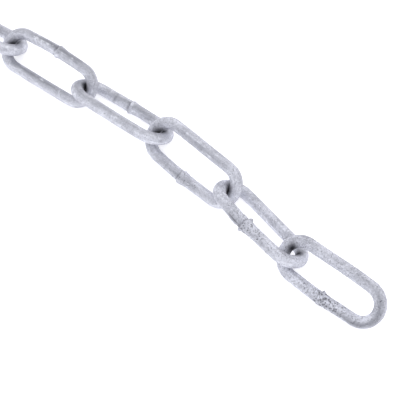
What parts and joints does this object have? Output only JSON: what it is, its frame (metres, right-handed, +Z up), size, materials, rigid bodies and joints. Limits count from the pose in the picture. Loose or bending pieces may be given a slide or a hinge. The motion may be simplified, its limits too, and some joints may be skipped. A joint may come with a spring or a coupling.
{
  "type": "long-link steel chain",
  "caption": "Length of welded long-link galvanised steel chain laid loosely on a level floor, for hanging, fencing, tying down or securing things.",
  "frame": {"origin": "on the floor, under the middle of the laid chain's box", "axes": "+X along the straight run towards the free end that the picture shows, the loop on its -Y side, +Z up from the floor"},
  "size_m": [0.3727, 0.3491, 0.0123],
  "materials": {
    "galvanised_steel": "hot-dip galvanised, matt light grey with a fine rough grain"
  },
  "bodies": {
    "link_01": {"link_01": "galvanised_steel"},
    "link_02": {"link_02": "galvanised_steel"},
    "link_03": {"link_03": "galvanised_steel"},
    "link_04": {"link_04": "galvanised_steel"},
    "link_05": {"link_05": "galvanised_steel"},
    "link_06": {"link_06": "galvanised_steel"},
    "link_07": {"link_07": "galvanised_steel"},
    "link_08": {"link_08": "galvanised_steel"},
    "link_09": {"link_09": "galvanised_steel"},
    "link_10": {"link_10": "galvanised_steel"},
    "link_11": {"link_11": "galvanised_steel"},
    "link_12": {"link_12": "galvanised_steel"},
    "link_13": {"link_13": "galvanised_steel"},
    "link_14": {"link_14": "galvanised_steel"},
    "link_15": {"link_15": "galvanised_steel"},
    "link_16": {"link_16": "galvanised_steel"},
    "link_17": {"link_17": "galvanised_steel"},
    "link_18": {"link_18": "galvanised_steel"},
    "link_19": {"link_19": "galvanised_steel"},
    "link_20": {"link_20": "galvanised_steel"},
    "link_21": {"link_21": "galvanised_steel"},
    "link_22": {"link_22": "galvanised_steel"},
    "link_23": {"link_23": "galvanised_steel"},
    "link_24": {"link_24": "galvanised_steel"},
    "link_25": {"link_25": "galvanised_steel"},
    "link_26": {"link_26": "galvanised_steel"},
    "link_27": {"link_27": "galvanised_steel"},
    "link_28": {"link_28": "galvanised_steel"},
    "link_29": {"link_29": "galvanised_steel"},
    "link_30": {"link_30": "galvanised_steel"},
    "link_31": {"link_31": "galvanised_steel"}
  },
  "joints": [
    {"name": "swing_02", "type": "hinge", "parent": "link_01", "child": "link_02", "pos_m": [0.14822, 0.15996, 0.00629], "axis": [0, 0.7547, 0.6561], "range_deg": [-90, 60]},
    {"name": "swing_03", "type": "hinge", "parent": "link_02", "child": "link_03", "pos_m": [0.11833, 0.16601, 0.00564], "axis": [0.1436, 0.7748, -0.6157], "range_deg": [-45, 90]},
    {"name": "swing_04", "type": "hinge", "parent": "link_03", "child": "link_04", "pos_m": [0.08718, 0.16821, 0.00613], "axis": [-0.061, -0.7748, -0.6293], "range_deg": [-90, 90]},
    {"name": "swing_05", "type": "hinge", "parent": "link_04", "child": "link_05", "pos_m": [0.05605, 0.16627, 0.00604], "axis": [0.0412, -0.7869, 0.6157], "range_deg": [-90, 90]},
    {"name": "swing_06", "type": "hinge", "parent": "link_05", "child": "link_06", "pos_m": [0.02492, 0.16434, 0.0058], "axis": [-0.0468, 0.7646, 0.6428], "range_deg": [-90, 90]},
    {"name": "swing_07", "type": "hinge", "parent": "link_06", "child": "link_07", "pos_m": [-0.00616, 0.16068, 0.00572], "axis": [-0.088, 0.7722, -0.6293], "range_deg": [-90, 90]},
    {"name": "swing_08", "type": "hinge", "parent": "link_07", "child": "link_08", "pos_m": [-0.03691, 0.1554, 0.00613], "axis": [0.1283, -0.7665, -0.6293], "range_deg": [-90, 90]},
    {"name": "swing_09", "type": "hinge", "parent": "link_08", "child": "link_09", "pos_m": [-0.06734, 0.14853, 0.00572], "axis": [0.1682, -0.7587, 0.6293], "range_deg": [-90, 90]},
    {"name": "swing_10", "type": "hinge", "parent": "link_09", "child": "link_10", "pos_m": [-0.09586, 0.13616, 0.00572], "axis": [-0.2991, 0.7173, 0.6293], "range_deg": [-90, 90]},
    {"name": "swing_11", "type": "hinge", "parent": "link_10", "child": "link_11", "pos_m": [-0.12193, 0.11979, 0.00613], "axis": [-0.4047, 0.6635, -0.6293], "range_deg": [-75, 90]},
    {"name": "swing_12", "type": "hinge", "parent": "link_11", "child": "link_12", "pos_m": [-0.14338, 0.0974, 0.00613], "axis": [0.5507, -0.5484, -0.6293], "range_deg": [-75, 90]},
    {"name": "swing_13", "type": "hinge", "parent": "link_12", "child": "link_13", "pos_m": [-0.16047, 0.07117, 0.00572], "axis": [0.645, -0.4335, 0.6293], "range_deg": [-90, 75]},
    {"name": "swing_14", "type": "hinge", "parent": "link_13", "child": "link_14", "pos_m": [-0.17371, 0.04277, 0.00613], "axis": [-0.7007, 0.3361, 0.6293], "range_deg": [-90, 75]},
    {"name": "swing_15", "type": "hinge", "parent": "link_14", "child": "link_15", "pos_m": [-0.17976, 0.01236, 0.00613], "axis": [-0.7592, 0.166, -0.6293], "range_deg": [-90, 90]},
    {"name": "swing_16", "type": "hinge", "parent": "link_15", "child": "link_16", "pos_m": [-0.17949, -0.01832, 0.00572], "axis": [0.7771, -0.0071, -0.6293], "range_deg": [-90, 90]},
    {"name": "swing_17", "type": "hinge", "parent": "link_16", "child": "link_17", "pos_m": [-0.17508, -0.04915, 0.00572], "axis": [0.7705, 0.1016, 0.6293], "range_deg": [-90, 60]},
    {"name": "swing_18", "type": "hinge", "parent": "link_17", "child": "link_18", "pos_m": [-0.1638, -0.07834, 0.00613], "axis": [-0.7295, -0.268, 0.6293], "range_deg": [-90, 60]},
    {"name": "swing_19", "type": "hinge", "parent": "link_18", "child": "link_19", "pos_m": [-0.14644, -0.10438, 0.00572], "axis": [-0.6536, -0.4205, -0.6293], "range_deg": [-90, 90]},
    {"name": "swing_20", "type": "hinge", "parent": "link_19", "child": "link_20", "pos_m": [-0.12584, -0.12773, 0.00572], "axis": [0.5885, 0.5076, -0.6293], "range_deg": [-90, 90]},
    {"name": "swing_21", "type": "hinge", "parent": "link_20", "child": "link_21", "pos_m": [-0.10111, -0.14589, 0.00613], "axis": [0.4713, 0.618, 0.6293], "range_deg": [-90, 75]},
    {"name": "swing_22", "type": "hinge", "parent": "link_21", "child": "link_22", "pos_m": [-0.07257, -0.15802, 0.00613], "axis": [-0.3173, -0.7094, 0.6293], "range_deg": [-90, 90]},
    {"name": "swing_23", "type": "hinge", "parent": "link_22", "child": "link_23", "pos_m": [-0.04234, -0.16625, 0.00572], "axis": [-0.2122, -0.7476, -0.6293], "range_deg": [-60, 90]},
    {"name": "swing_24", "type": "hinge", "parent": "link_23", "child": "link_24", "pos_m": [-0.0111, -0.16841, 0.00613], "axis": [0.0649, 0.7744, -0.6293], "range_deg": [-75, 90]},
    {"name": "swing_25", "type": "hinge", "parent": "link_24", "child": "link_25", "pos_m": [0.01943, -0.16302, 0.00613], "axis": [-0.1204, 0.7678, 0.6293], "range_deg": [-90, 90]},
    {"name": "swing_26", "type": "hinge", "parent": "link_25", "child": "link_26", "pos_m": [0.04865, -0.15332, 0.00572], "axis": [0.2351, -0.7407, 0.6293], "range_deg": [-90, 90]},
    {"name": "swing_27", "type": "hinge", "parent": "link_26", "child": "link_27", "pos_m": [0.07594, -0.13843, 0.00572], "axis": [0.3627, -0.6873, -0.6293], "range_deg": [-60, 90]},
    {"name": "swing_28", "type": "hinge", "parent": "link_27", "child": "link_28", "pos_m": [0.09887, -0.11716, 0.00613], "axis": [-0.5178, 0.5795, -0.6293], "range_deg": [-75, 90]},
    {"name": "swing_29", "type": "hinge", "parent": "link_28", "child": "link_29", "pos_m": [0.11824, -0.09254, 0.00572], "axis": [-0.6049, 0.488, 0.6293], "range_deg": [-90, 90]},
    {"name": "swing_30", "type": "hinge", "parent": "link_29", "child": "link_30", "pos_m": [0.13319, -0.06526, 0.00572], "axis": [0.6767, -0.3822, 0.6293], "range_deg": [-90, 90]},
    {"name": "swing_31", "type": "hinge", "parent": "link_30", "child": "link_31", "pos_m": [0.14072, -0.03559, 0.00613], "axis": [0.749, -0.2074, -0.6293], "range_deg": [-90, 90]}
  ]
}
